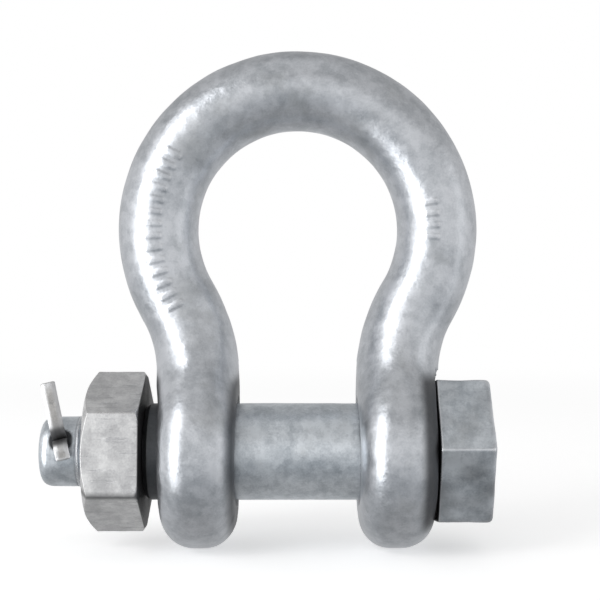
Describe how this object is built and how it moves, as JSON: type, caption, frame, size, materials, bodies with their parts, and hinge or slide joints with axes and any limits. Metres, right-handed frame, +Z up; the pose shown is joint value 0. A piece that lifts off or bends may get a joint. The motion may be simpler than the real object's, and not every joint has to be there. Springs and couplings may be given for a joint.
{
  "type": "bow shackle",
  "caption": "Galvanised bow shackle of forged round bar, closed across its ears by a hexagon-headed bolt with a nut and a split cotter pin.",
  "frame": {"origin": "on the bolt's axis, midway between the inner faces of the ears", "axes": "+X along the bolt towards its head, +Z up to the crown of the bow, -Y towards the side the cotter pin's legs are on"},
  "size_m": [0.075, 0.0322, 0.0837],
  "materials": {
    "bow": "forged, hot-dip galvanised, satin",
    "bolt": "forged, hot-dip galvanised, satin",
    "nut": "machined, zinc-coated, fine scratches",
    "cotter_pin": "drawn wire, dull zinc"
  },
  "bodies": {
    "bow": {"bow": "bow"},
    "nut": {"nut": "nut"},
    "bolt": {"bolt": "bolt"},
    "cotter_pin": {"cotter_pin": "cotter_pin"}
  },
  "joints": [
    {"name": "bolt_spin", "type": "hinge", "parent": "bow", "child": "nut", "pos_m": [0, 0, 0], "axis": [1, 0, 0], "continuous": true},
    {"name": "bolt_draw", "type": "slide", "parent": "nut", "child": "bolt", "axis": [1, 0, 0], "range_m": [0, 0.072]},
    {"name": "cotter_pull", "type": "slide", "parent": "bolt", "child": "cotter_pin", "axis": [0, 0.9063, -0.4226], "range_m": [0, 0.026], "deforming": ["cotter_pin"]}
  ]
}
